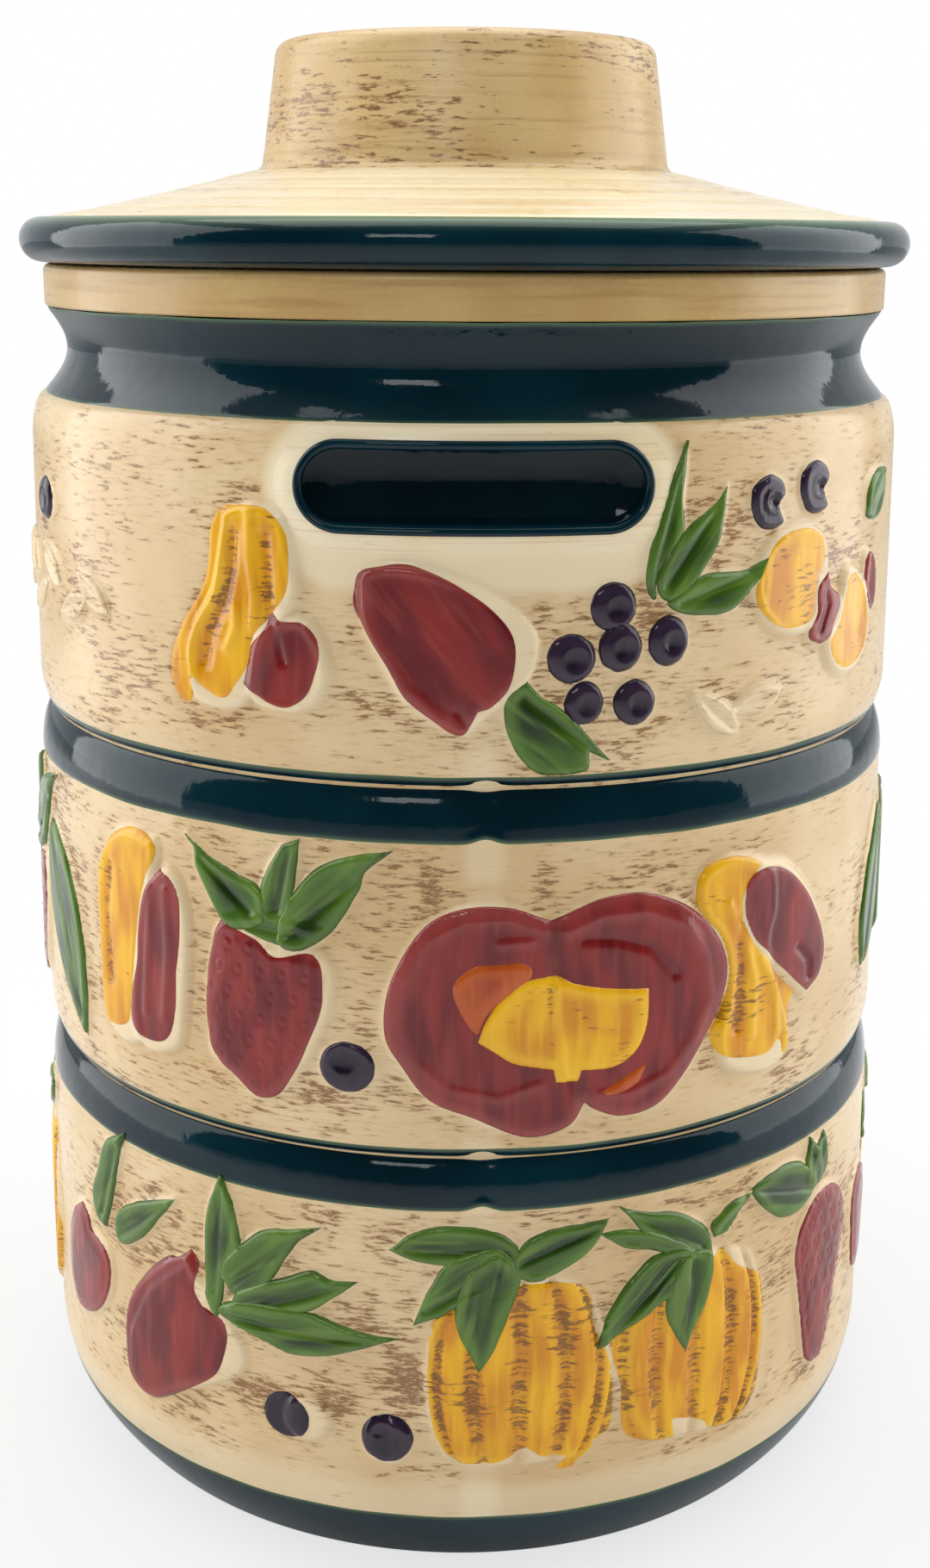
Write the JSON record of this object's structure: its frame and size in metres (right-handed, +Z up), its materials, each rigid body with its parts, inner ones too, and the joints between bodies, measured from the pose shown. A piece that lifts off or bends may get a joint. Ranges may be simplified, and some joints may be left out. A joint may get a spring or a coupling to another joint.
{
  "type": "rumtopf pot",
  "caption": "Three-tiered glazed fruit crock with moulded fruit ornament, recessed finger grips and a lift-off lid with a drum knob.",
  "frame": {"origin": "centre of the foot, on the surface that the jar stands on", "axes": "+Z up along the jar's axis; one finger grip faces -Y and the other +Y"},
  "size_m": [0.192, 0.192, 0.3018],
  "materials": {
    "cream_glaze": "glossy cream glaze over brown wiped stain",
    "tan_glaze": "glossy tan glaze with brown brush streaks",
    "teal_glaze": "glossy dark teal glaze",
    "yellow_paint": "brushed yellow underglaze, clear glossy glaze",
    "red_paint": "brushed red-brown underglaze, clear glossy glaze",
    "green_paint": "brushed green underglaze, clear glossy glaze",
    "berry_paint": "dark purple underglaze, clear glossy glaze"
  },
  "bodies": {
    "jar": {"base_shell": "cream_glaze", "lower_wall": "cream_glaze", "middle_wall": "cream_glaze", "upper_wall": "cream_glaze", "grip_housings": "cream_glaze", "foot_band": "teal_glaze", "lower_ring": "teal_glaze", "upper_ring": "teal_glaze", "neck_band": "teal_glaze", "mouth_rim": "tan_glaze", "grip_linings": "teal_glaze", "grip_frames": "cream_glaze", "upper_yellow_fruit": "yellow_paint", "upper_red_fruit": "red_paint", "upper_berries": "berry_paint", "upper_leaves": "green_paint", "plain_leaves": "cream_glaze", "middle_yellow_fruit": "yellow_paint", "middle_red_fruit": "red_paint", "middle_strawberries": "red_paint", "middle_split_fruit": "red_paint", "middle_fruit_cores": "yellow_paint", "middle_berries": "berry_paint", "middle_leaves": "green_paint", "lower_red_fruit": "red_paint", "lower_strawberries": "red_paint", "lower_pumpkins": "yellow_paint", "lower_berries": "berry_paint", "lower_leaves": "green_paint"},
    "lid": {"lid_shell": "cream_glaze", "lid_roll": "teal_glaze", "lid_flange": "cream_glaze", "knob": "tan_glaze"}
  },
  "joints": [
    {"name": "lid_lift", "type": "slide", "parent": "jar", "child": "lid", "axis": [0, 0, 1], "range_m": [0, 0.08]}
  ]
}
